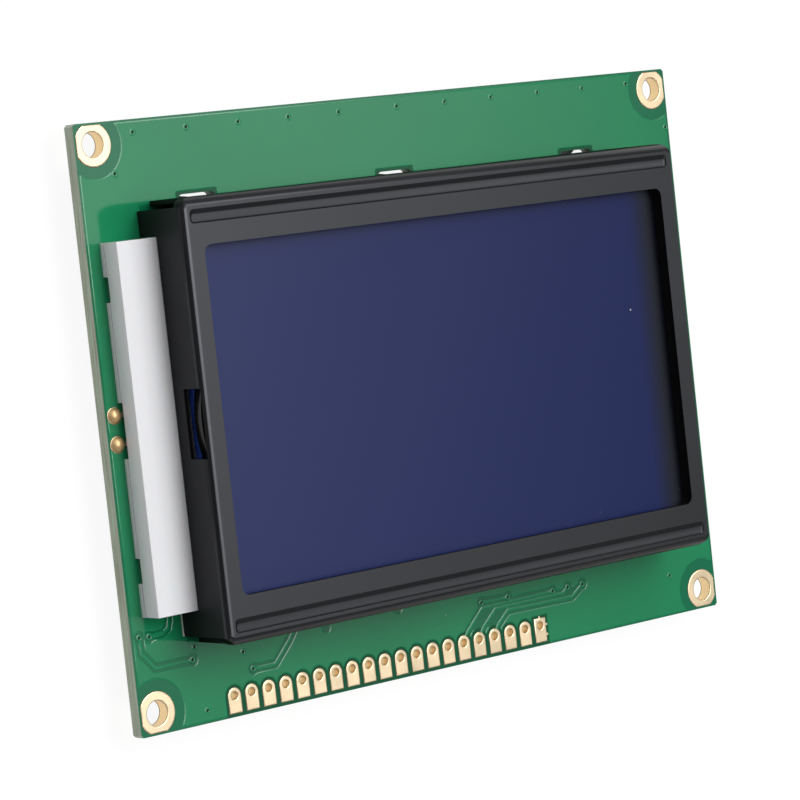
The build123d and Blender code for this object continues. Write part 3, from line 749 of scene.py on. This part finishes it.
# %% Places on the board
mounting_holes = [(x, y) for x in (-44.0, 44.0) for y in (-32.5, 32.5)]
mounting_hole = 1.5
mounting_pad = 2.5
mounting_clear = 4.07
pad_margin = 0.3
header_pitch = 2.54
header_y = -32.5
header_holes = [-32.85 + header_pitch * i for i in range(20)]
header_hole = 0.5
header_half = 0.925
header_end = -34.55
header_top = header_y + header_half
header_clear = 0.50
slot_centres = [(x, y) for x in (-30.25, -0.25, 29.75) for y in (-25.2, 25.2)]
slot_half_length = 2.7
slot_half_width = 0.65
terminals = [(-45.25, 1.85), (-45.25, -1.45)]


def header_outline(x, extra=0.0, square=False):
    """A pad with a round top and a square foot, grown by extra."""
    half = header_half + extra
    if square:
        return slab(x - half, header_end - extra, x + half, header_top + extra)
    arch = [around((x, header_y), half, math.pi * i / 14) for i in range(15)]
    return [(x - half, header_end - extra), (x + half, header_end - extra)] + arch


def header_outlines(extra, all_square, stays):
    """All header pads. The first one is square, at the right end, and on the rear they all are."""
    return [(header_outline(x, extra, all_square or x == header_holes[-1]), stays) for x in header_holes]


def slot_outlines(extra_x, extra_y, radius, stays):
    return [(block(x, y, slot_half_length + extra_x, slot_half_width + extra_y, radius), stays)
            for x, y in slot_centres]


print("header from", header_holes[0], "to", round(header_holes[-1], 2))

# %% [markdown]
# The front copper. The pour stops 0.4 mm inside the board's edge and round every pad and slot. Tracks
# run in channels about a millimetre wide, and each track ends in a small round land with a via in it.
# A moat round a slot is given by how far it reaches beyond it, along and across, and its corner radius.

# %% Front copper
pour_margin = 0.4
pour_corner = 0.5
slot_moat = (0.4, 0.5, 0.4)
terminal_moat = 1.15
dip_radius = 0.75
track_half = 0.09
channel_half = 0.66
land = 0.30
land_clear = 0.84
via_hole = 0.16
bezel_lap = 0.25
copper_height = 0.035
copper_shoulder = 0.16

front_tracks = [
    [(-45.3, -23.6), (-45.2, -25.5), (-43.5, -27.4), (-38.2, -27.35)],
    [(-43.9, -23.7), (-42.0, -23.6), (-41.2, -23.1), (-40.95, -22.2), (-40.95, -20.8)],
    [(-29.7, -29.9), (-26.4, -29.9), (-23.9, -27.4), (-22.3, -25.2)],
    [(6.25, -28.1), (10.6, -28.1)],
    [(3.1, -31.8), (3.7, -31.1), (6.3, -28.75), (18.1, -28.6)],
    [(5.65, -31.8), (6.2, -31.1), (8.4, -29.2), (19.8, -29.1), (20.7, -28.5)],
    [(8.2, -31.8), (8.7, -31.1), (10.4, -29.7), (21.3, -29.8), (23.25, -28.5)],
]
front_lands = [(-45.3, -23.6), (-43.9, -23.7), (-38.2, -27.35), (-29.7, -29.9), (6.25, -28.1),
               (10.6, -28.1), (18.1, -28.6), (20.7, -28.5), (23.25, -28.5)]
top_row = (-38.3, -30.7, -23.1, -15.6, -7.9, 1.2, 8.9, 16.5, 24.3, 32.0, 39.7)
front_vias = [(x, 33.5) for x in top_row]
front_vias += [(-41.4, 29.0), (45.95, 27.5), (38.5, -29.9), (-36.9, -33.5), (-30.9, -27.7),
               (-37.75, -25.9)]
front_dips = [(-18.3, -27.0), (-7.1, -26.6)]
between_tracks = [(3.4, -31.3), (8.9, -31.3), (10.5, -29.8), (21.3, -29.8), (23.25, -28.5), (18.1, -28.6),
                  (6.3, -28.75)]


def track_outlines(tracks, lands, vias):
    """Channels, then tracks and lands in them, then the holes of the vias."""
    channels = bars(tracks, channel_half, False) + circles(lands, land_clear, 20, False)
    copper = bars(tracks, track_half, True) + circles(lands, land, 16, True)
    return channels + copper + circles(vias + lands, via_hole, 12, False)


pour = [(block(0, 0, half_length - pour_margin, half_width - pour_margin, pour_corner), True)]
pour += circles(mounting_holes, mounting_clear, 40, False)
under_bezel = slab(bezel_left + bezel_lap, -bezel_half_width + bezel_lap, bezel_right - bezel_lap,
                   bezel_half_width - bezel_lap)
front = pour + [(under_bezel, False)] + slot_outlines(*slot_moat, False)
front += header_outlines(header_clear, False, False)
front += circles(front_dips, dip_radius, 20, False) + circles(terminals, terminal_moat, 24, False)
front.append((between_tracks, False))
front += track_outlines(front_tracks, front_lands, front_vias)
raised_sheet("copper_relief_front", front, board_top, copper_height, copper_shoulder, 1, copper_board)

# %% [markdown]
# Lacquer pools in the narrow channels, where its floor keeps nearly the colour of the bare board. The
# moats round the header pads and the slots are painted a deep green that mirrors less: a painted shade for
# the shadow that falls in them. The colour could follow the depth in the material, but the board's solid
# is flat there. So both get a floor of their own, a thin sheet that lies on the laminate.

# %% Pooled lacquer
pooled = finish("pooled_lacquer", (0.006, 0.160, 0.068), lacquer_gloss, lacquer_grain, drift=0.05,
                Specular_IOR_Level=lacquer_shine)
# Painted shade: the moats are a deeper green with less sheen, for the shadow in them.
moat_painted_shade = finish("moat_painted_shade", (0.006, 0.095, 0.041), lacquer_gloss, lacquer_grain, drift=0.05,
                      Specular_IOR_Level=0.22)
floor_gap = 0.05
floor_height = 0.004
floor_shoulder = 0.02
slot_floor = (0.36, 0.46, 0.4)
slot_rim = (0.03, 0.03, 0.67)
pad_gap = 0.06
edge_gap = 0.06

channels = [(between_tracks, True)] + bars(front_tracks, channel_half - floor_gap, True)
channels += circles(front_lands, land_clear - floor_gap, 20, True)
channels += header_outlines(header_clear + 0.02, False, False)
channels += circles(front_vias + front_lands, via_hole, 12, False)
raised_sheet("channel_floors_front", channels, board_top, floor_height, floor_shoulder, 1, pooled)

moats = slot_outlines(*slot_floor, True) + slot_outlines(*slot_rim, False)
moats.append((slab(bezel_left, -bezel_half_width, bezel_right, bezel_half_width), False))
rims = header_outlines(header_clear - floor_gap, False, True) + header_outlines(pad_gap, False, False)
moats += [(inside_edges(points, edge_gap), stays) for points, stays in rims]
raised_sheet("moat_floors_front", moats, board_top, floor_height, floor_shoulder, 1, moat_painted_shade)

# %% [markdown]
# The drops, rings and cones below are bodies of revolution: a profile turned round an axis. `turned`
# makes one smooth mesh from a profile of (radius, height), and a little unevenness round the rim keeps
# a hand-poured drop from looking turned on a lathe.

# %% Turned forms
def turned(name, centres, profile, made, count=48, uneven=0.0):
    places, polygons = [], []
    for x, y in centres:
        start = len(places)
        places.append((x, y, profile[0][1]))
        for radius, height in profile[1:-1]:
            for i in range(count):
                angle = 2 * math.pi * i / count
                wave = 1 + uneven * (math.sin(3 * angle + x) + 0.6 * math.sin(5 * angle + 2 * y))
                places.append((*around((x, y), radius * wave, angle), height))
        places.append((x, y, profile[-1][1]))
        last = len(places) - 1
        rows = len(profile) - 2
        for i in range(count):
            j = (i + 1) % count
            polygons.append((start, start + 1 + i, start + 1 + j))
            for row in range(rows - 1):
                a = start + 1 + row * count
                polygons.append((a + i, a + count + i, a + count + j, a + j))
            a = start + 1 + (rows - 1) * count
            polygons.append((a + i, last, a + j))
    return place_piece(name, places, polygons, made)


print("turned forms are ready")

# %% [markdown]
# A via is a small plated hole under the lacquer. The lacquer stands up in a ring round it and sinks into
# the hole, so each one is a low ring with a dark bottom: a painted shade for the shadow in the hole.

# %% Vias
# Painted shade: the near black bottom of each via stands for the shadow in its hole.
via_hole_shade = finish("via_dimple", (0.001, 0.010, 0.006), (0.40, 0.50), (2500.0, 0.0010), drift=0.2,
                  Specular_IOR_Level=0.2)
via_bottom = 0.17
dimple_height = 0.006
dimple_shoulder = 0.02
via_ring = [(0, 0.0), (via_bottom, 0.0), (0.20, 0.016), (0.25, 0.023), (0.33, 0.019), (0.42, 0.004),
            (0.46, -0.012), (0, -0.02)]


def vias(side, places, surface, facing):
    ring = [(radius, surface + facing * height) for radius, height in via_ring][::facing]
    turned("via_rings_" + side, places, ring, copper_board, count=20)
    raised_sheet("via_dimples_" + side, circles(places, via_bottom - 0.01, 12, True), surface,
                 dimple_height, dimple_shoulder, facing, via_hole_shade)


vias("front", front_vias + front_lands, board_top + copper_height, 1)

# %% [markdown]
# The pads. Plating piles up softly at the rim of a pad, so each one gets a thin crown with a round
# shoulder that lies on the flat solid pad. The bare laminate between a pad and the lacquer is a narrow
# brown line round it, and a tan strip where the pad is cut off straight at the board's edge.

# %% Pad crowns and bare laminate
pad_low, pad_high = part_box("header_pads")
crown_height = 0.035
crown_shoulder = 0.10
rim_width = 0.04
rim_height = 0.012
rim_shoulder = 0.03
terminal_pad = 0.98
laminate_tan = finish("bare_laminate", (0.10, 0.060, 0.030), (0.45, 0.60), (2400.0, 0.0030), drift=0.15,
                      drift_scale=400.0)


def pad_outlines(grow, all_square):
    """All pads grown by grow, less their holes."""
    smaller = -min(grow, 0)
    pads = [(inside_edges(circle(x, y, mounting_pad + grow, 48), pad_margin - grow), True)
            for x, y in mounting_holes]
    pads += header_outlines(grow, all_square, True) + circles(terminals, terminal_pad + grow, 28, True)
    pads += circles(mounting_holes, mounting_hole + smaller, 32, False)
    return pads + circles([(x, header_y) for x in header_holes], header_hole + smaller, 20, False)


def rims_and_crowns(side, all_square, surface, pad_face, facing):
    raised_sheet("laminate_rims_" + side, pad_outlines(rim_width, all_square), surface, rim_height,
                 rim_shoulder, facing, laminate_tan)
    raised_sheet("pad_crowns_" + side, pad_outlines(-crown_shoulder, all_square), pad_face, crown_height,
                 crown_shoulder, facing, gold)


rims_and_crowns("front", False, board_top, pad_high.z / mm, 1)

# %% [markdown]
# The first header pad is square, and it is joined to the pour by three narrow bridges of copper, which
# take less heat away than a broad joint would. They show as small gold teeth across the moat.

# %% Gold teeth of the first pad
first_pad = header_holes[-1]
pad_side = first_pad + header_half
tooth = 0.24
tooth_root = 0.05
tooth_height = 0.05
tooth_shoulder = 0.05
teeth = [(slab(first_pad - 0.10, header_top - tooth_root, first_pad + 0.10, header_top + tooth), True),
         (slab(pad_side - tooth_root, -32.55, pad_side + tooth, -32.35), True),
         (slab(pad_side - tooth_root, -33.80, pad_side + tooth, -33.60), True)]
raised_sheet("pad_teeth_front", teeth, board_top, tooth_height, tooth_shoulder, 1, gold)

# %% [markdown]
# The rear. The photo doesn't show it, so it gets what such modules have and no more: the drivers' fine
# tracks fan out to a row of vias under the long edges of the cell, a bus joins the three chips, and the
# header's tracks run up to the small parts. Pads and lands are those of the solids.

# %% Rear copper
rear_tracks, rear_lands = [], []
drops = {}
for node in potted_chips:
    low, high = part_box(node)
    drops[node] = ((low.x + high.x) / 2 / mm, (low.y + high.y) / 2 / mm, (high.x - low.x) / 2 / mm)
left_x, drop_y, driver_radius = drops["left_driver_potting"]
right_x = drops["right_driver_potting"][0]
middle_radius = drops["controller_potting"][2]
inset = 1.0
fan = 20
fan_angle = 150
fan_pitch = 1.15
bus_pitch = 1.0
for side in (left_x, right_x):
    for i in range(fan):
        share = i / (fan - 1) - 0.5
        angle = math.radians(90 - share * fan_angle)
        start = around((side, drop_y), driver_radius - inset, angle)
        bend = around((side, drop_y), driver_radius + 1.2, angle)
        end = (side + share * fan * fan_pitch, 19.6 if i % 2 else 21.0)
        rear_tracks.append([start, bend, (end[0], 17.6), end])
        rear_lands.append(end)
for i in range(8):
    rise = (i - 3.5) * bus_pitch
    inner = math.sqrt((middle_radius - inset) ** 2 - rise**2)
    outer = math.sqrt((driver_radius - inset) ** 2 - rise**2)
    rear_tracks.append([(left_x + outer, drop_y + rise), (-inner, drop_y + rise)])
    rear_tracks.append([(inner, drop_y + rise), (right_x - outer, drop_y + rise)])
for i, x in enumerate(header_holes[:19]):
    top = -20.4 if i % 2 else -21.8
    x_top = -25.4 + i * 2.2 if i < 10 else 4.6 + (i - 10) * 2.05
    rear_tracks.append([(x, -31.0), (x, -30.4), (x_top, -27.3), (x_top, top)])
    rear_lands.append((x_top, top))
for i in range(12):
    x = -6.6 + 1.2 * i
    y = drop_y - math.sqrt((middle_radius - inset) ** 2 - (x * 0.8) ** 2)
    end = (x * 1.35, -8.2 if i % 2 else -9.6)
    rear_tracks.append([(x * 0.8, y), (end[0], -5.0), end])
    rear_lands.append(end)
rear_vias = [(x, 33.5) for x in top_row] + [(-41.4, 29.0), (45.95, 27.5), (38.5, -29.9), (-36.9, -33.5)]

chip_field = slab(-38.5, -24.0, 41.5, 23.4, 2.0)
terminal_field = slab(-47.0, -3.2, -42.8, 3.6, 0.5)
rear_slot_moat = (0.8, 0.85, 0.6)
rear_shoulder = 0.12
rear = pour + [(chip_field, False), (terminal_field, False)] + slot_outlines(*rear_slot_moat, False)
rear += header_outlines(header_clear, True, False)
rear += track_outlines(rear_tracks, rear_lands, rear_vias)
raised_sheet("copper_relief_rear", rear, board_bottom, copper_height, rear_shoulder, -1, copper_board)
vias("rear", rear_vias + rear_lands, board_bottom - copper_height, -1)
rims_and_crowns("rear", True, board_bottom, pad_low.z / mm, -1)

# %% [markdown]
# Each end of a small part sits on a tinned land that is a little larger than the end itself.

# %% Lands of the small parts
resistor_places = [(-20.0 + 4.0 * (i - 2), -16.0 + 2.6 * (j - 0.5)) for i in range(5) for j in range(2)]
capacitor_places = [(26.0 + 4.6 * (i - 1.5), -16.0) for i in range(4)]
lead_places = [(10.0 + 1.27 * (i - 1.5), -16.0 + side * 2.75) for i in range(4) for side in (-1, 1)]
land_half = 0.34
lands = []
for places, reach, half_wide in ((resistor_places, 1.0, 0.70), (capacitor_places, 1.6, 0.88)):
    for x, y in places:
        for side in (-1, 1):
            lands.append((block(x + side * (reach + 0.02), y, land_half, half_wide, 0.12, 3), True))
lands += [(block(x, y, 0.32, 0.5, 0.1, 3), True) for x, y in lead_places]
raised_sheet("part_lands_rear", lands, board_bottom, 0.05, 0.08, -1, tin)

# %% [markdown]
# The print. Thin white lines mark where parts go: a corner of the tray on the front, and outlines round
# the chips and small parts on the rear. The part carries no words.

# %% Printed lines
silk = finish("printed_line", (0.72, 0.74, 0.70), (0.45, 0.60), (2400.0, 0.0030), drift=0.06,
              drift_scale=500.0)
line_half = 0.07


def print_lines(name, strokes, rings, level, facing):
    outlines = []
    for x, y, radius in rings:
        outlines.append((circle(x, y, radius + line_half, 72), True))
        outlines.append((circle(x, y, radius - line_half, 72), False))
    outlines += bars(strokes, line_half, True, 4)
    raised_sheet(name, outlines, level, 0.012, 0.03, facing, silk)


def frame_line(x, y, half_x, half_y):
    corners = block(x, y, half_x, half_y)
    return corners + corners[:1]


lacquer_top = board_top + copper_height
tray_corner = [(-39.1, -21.6), (-39.1, -24.35), (-37.2, -24.35)]
print_lines("printed_lines_front", [tray_corner], [], lacquer_top, 1)
outlined = [frame_line(x, y, 1.62, 1.0) for x, y in resistor_places]
outlined += [frame_line(x, y, 2.18, 1.2) for x, y in capacitor_places]
print_lines("printed_lines_rear", outlined, [(x, y, radius + 0.6) for x, y, radius in drops.values()],
            board_bottom - copper_height, -1)

# %% [markdown]
# A few flecks of dust and lint lie where the photo has them: along the lower edge of the screen and here
# and there on the board. Each is a tiny irregular crumb, sunk a little into what it lies on. The specks
# on the bezel's face are part of its paint, because nothing may stand higher than that face.

# %% Flecks
dust_grey = finish("dust_fleck", (0.50, 0.51, 0.50), (0.70, 0.85), (3000.0, 0.0040), drift=0.15,
                   drift_scale=900.0)
film_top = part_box("lcd_front_polarizer")[1].z / mm
on_film = [(35.2, -18.1), (21.3, -19.0), (3.7, -20.4), (-1.0, -20.4)]
on_board = [(39.3, -28.8), (-1.0, -30.0), (0.3, -28.6)]
flecks = [(x, y, film_top) for x, y in on_film] + [(x, y, lacquer_top) for x, y in on_board]
chance = random.Random(7)
sides = 6
places, polygons = [], []
for x, y, level in flecks:
    start = len(places)
    size = chance.uniform(0.05, 0.09)
    for i in range(sides):
        reach = size * chance.uniform(0.6, 1.3)
        places.append((*around((x, y), reach, 2 * math.pi * i / sides), level - 0.01))
    places.append((x, y, level + size * 0.5))
    places.append((x, y, level - 0.02))
    for i in range(sides):
        j = (i + 1) % sides
        polygons += [(start + i, start + j, start + sides), (start + j, start + i, start + sides + 1)]
place_piece("dust_flecks", places, polygons, dust_grey, smooth=False)

# %% [markdown]
# The pressed grooves. Paint runs together in them, so they look shallower than they were pressed. Seen
# across, a groove is a long slope on its upper side, a flat bed and a short steep wall on its lower side.
# That could be a wide bevel on the frame's own edges, but a bevel can't be wider than the groove's wall.
# So each groove is lined with a trough of paint.

# %% Paint in the grooves
groove_end = 1.15
groove_middle = (bezel_left + bezel_right) / 2
groove_half_length = (bezel_right - bezel_left) / 2 - groove_end
groove_half_width = 0.825
groove_y = 23.3
upper_slope = 0.72
lower_wall = 0.20
end_slope = 0.42
overlap = 0.10
outer_lip = 0.08
paint_film = 0.002
corner_radius = 0.34
skirt = 0.36


def trough(name, middle_y, depth, steps=12):
    """Rings from the outer lip down to the bed, and a skirt that hangs in the groove below the lip."""
    rings = []
    for i in range(-1, steps + 1):
        share = max(0, i) / steps
        lip = outer_lip if i < 0 else 0.0
        half = groove_half_length - end_slope * share + overlap + lip
        y0 = middle_y - groove_half_width + lower_wall * share - lip
        y1 = middle_y + groove_half_width - upper_slope * share + overlap + lip
        level = face_top - paint_film - depth * s_curve(share)
        outline = slab(groove_middle - half, y0, groove_middle + half, y1, corner_radius)
        rings.append([(x, y, level) for x, y in outline])
    count = len(rings[0])
    rings.insert(0, [(x, y, face_top - skirt) for x, y, z in rings[0]])
    places = [place for ring in rings for place in ring]
    polygons = [list(range(count))[::-1], [(len(rings) - 1) * count + i for i in range(count)]]
    for row in range(len(rings) - 1):
        a = row * count
        for i in range(count):
            j = (i + 1) % count
            polygons.append((a + i, a + j, a + count + j, a + count + i))
    return place_piece(name, places, polygons, bezel_paint)


trough("groove_paint_top", groove_y, 0.20)
trough("groove_paint_bottom", -groove_y, 0.18)

# %% [markdown]
# The drops. Solder and resin are liquids that set where they stand: round domes of solder on the front,
# small cones round the pins on the rear, and flat black drops over the bare chips.

# %% Drops of solder and resin
solder_low, solder_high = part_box("backlight_solder")
dome_top = solder_high.z / mm
cone_tip = solder_low.z / mm
dome_radius = 0.95
dome_span = math.radians(80)
neck = 0.42
drop_steps = 14
drop_foot = 0.985
drop_flatness = 3.2
drop_roundness = 0.62

dome = [(0, dome_top)]
for i in range(1, 9):
    angle = dome_span * i / 8
    rise = (math.cos(angle) - math.cos(dome_span)) / (1 - math.cos(dome_span))
    dome.append((dome_radius * math.sin(angle) / math.sin(dome_span),
                 board_top + (dome_top - board_top) * rise))
dome += [(neck, board_top - 0.05), (neck, board_bottom + 0.05), (dome_radius, board_bottom)]
dome += [(0.62, board_bottom - 0.16), (0.46, board_bottom - 0.36), (0.40, cone_tip), (0, cone_tip)]
solder_joints = turned("solder_joints", terminals, dome, solder, uneven=0.012)
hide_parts("backlight_solder")

for node, (x, y, radius) in drops.items():
    low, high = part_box(node)
    foot, tip = high.z / mm, low.z / mm
    drop = [(0, foot + 0.02)]
    for i in range(drop_steps, 0, -1):
        share = i / drop_steps
        rise = (1 - share**drop_flatness) ** drop_roundness
        drop.append((radius * share * drop_foot, foot - (foot - tip) * rise))
    drop.append((0, tip))
    smooth_drop = turned(node.replace("potting", "drop"), [(x, y)], drop, potting,
                         count=64, uneven=0.008)
    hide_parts(node)

# %% [markdown]
# Soft edges. Nothing moulded, folded or fired has a knife edge, so the pieces that show get a small
# bevel. It is a modifier on top of the frame's own mesh, which stays as it is.

# %% Soft edges
def soften(node, width, angle=35.0, segments=2):
    weld = nodes[node].modifiers.new("weld", "WELD")
    weld.merge_threshold = 1e-6
    bevel = nodes[node].modifiers.new("soft_edge", "BEVEL")
    bevel.width = width * mm
    bevel.segments = segments
    bevel.limit_method = "ANGLE"
    bevel.angle_limit = math.radians(angle)
    bevel.harden_normals = True


edge_widths = {"bezel": 0.16, "backlight_housing": 0.08, "voltage_converter": 0.06,
               "chip_resistors": 0.04, "chip_capacitors": 0.05, "chip_end_caps": 0.04}
for node, width in edge_widths.items():
    soften(node, width)
print("softened:", list(edge_widths))
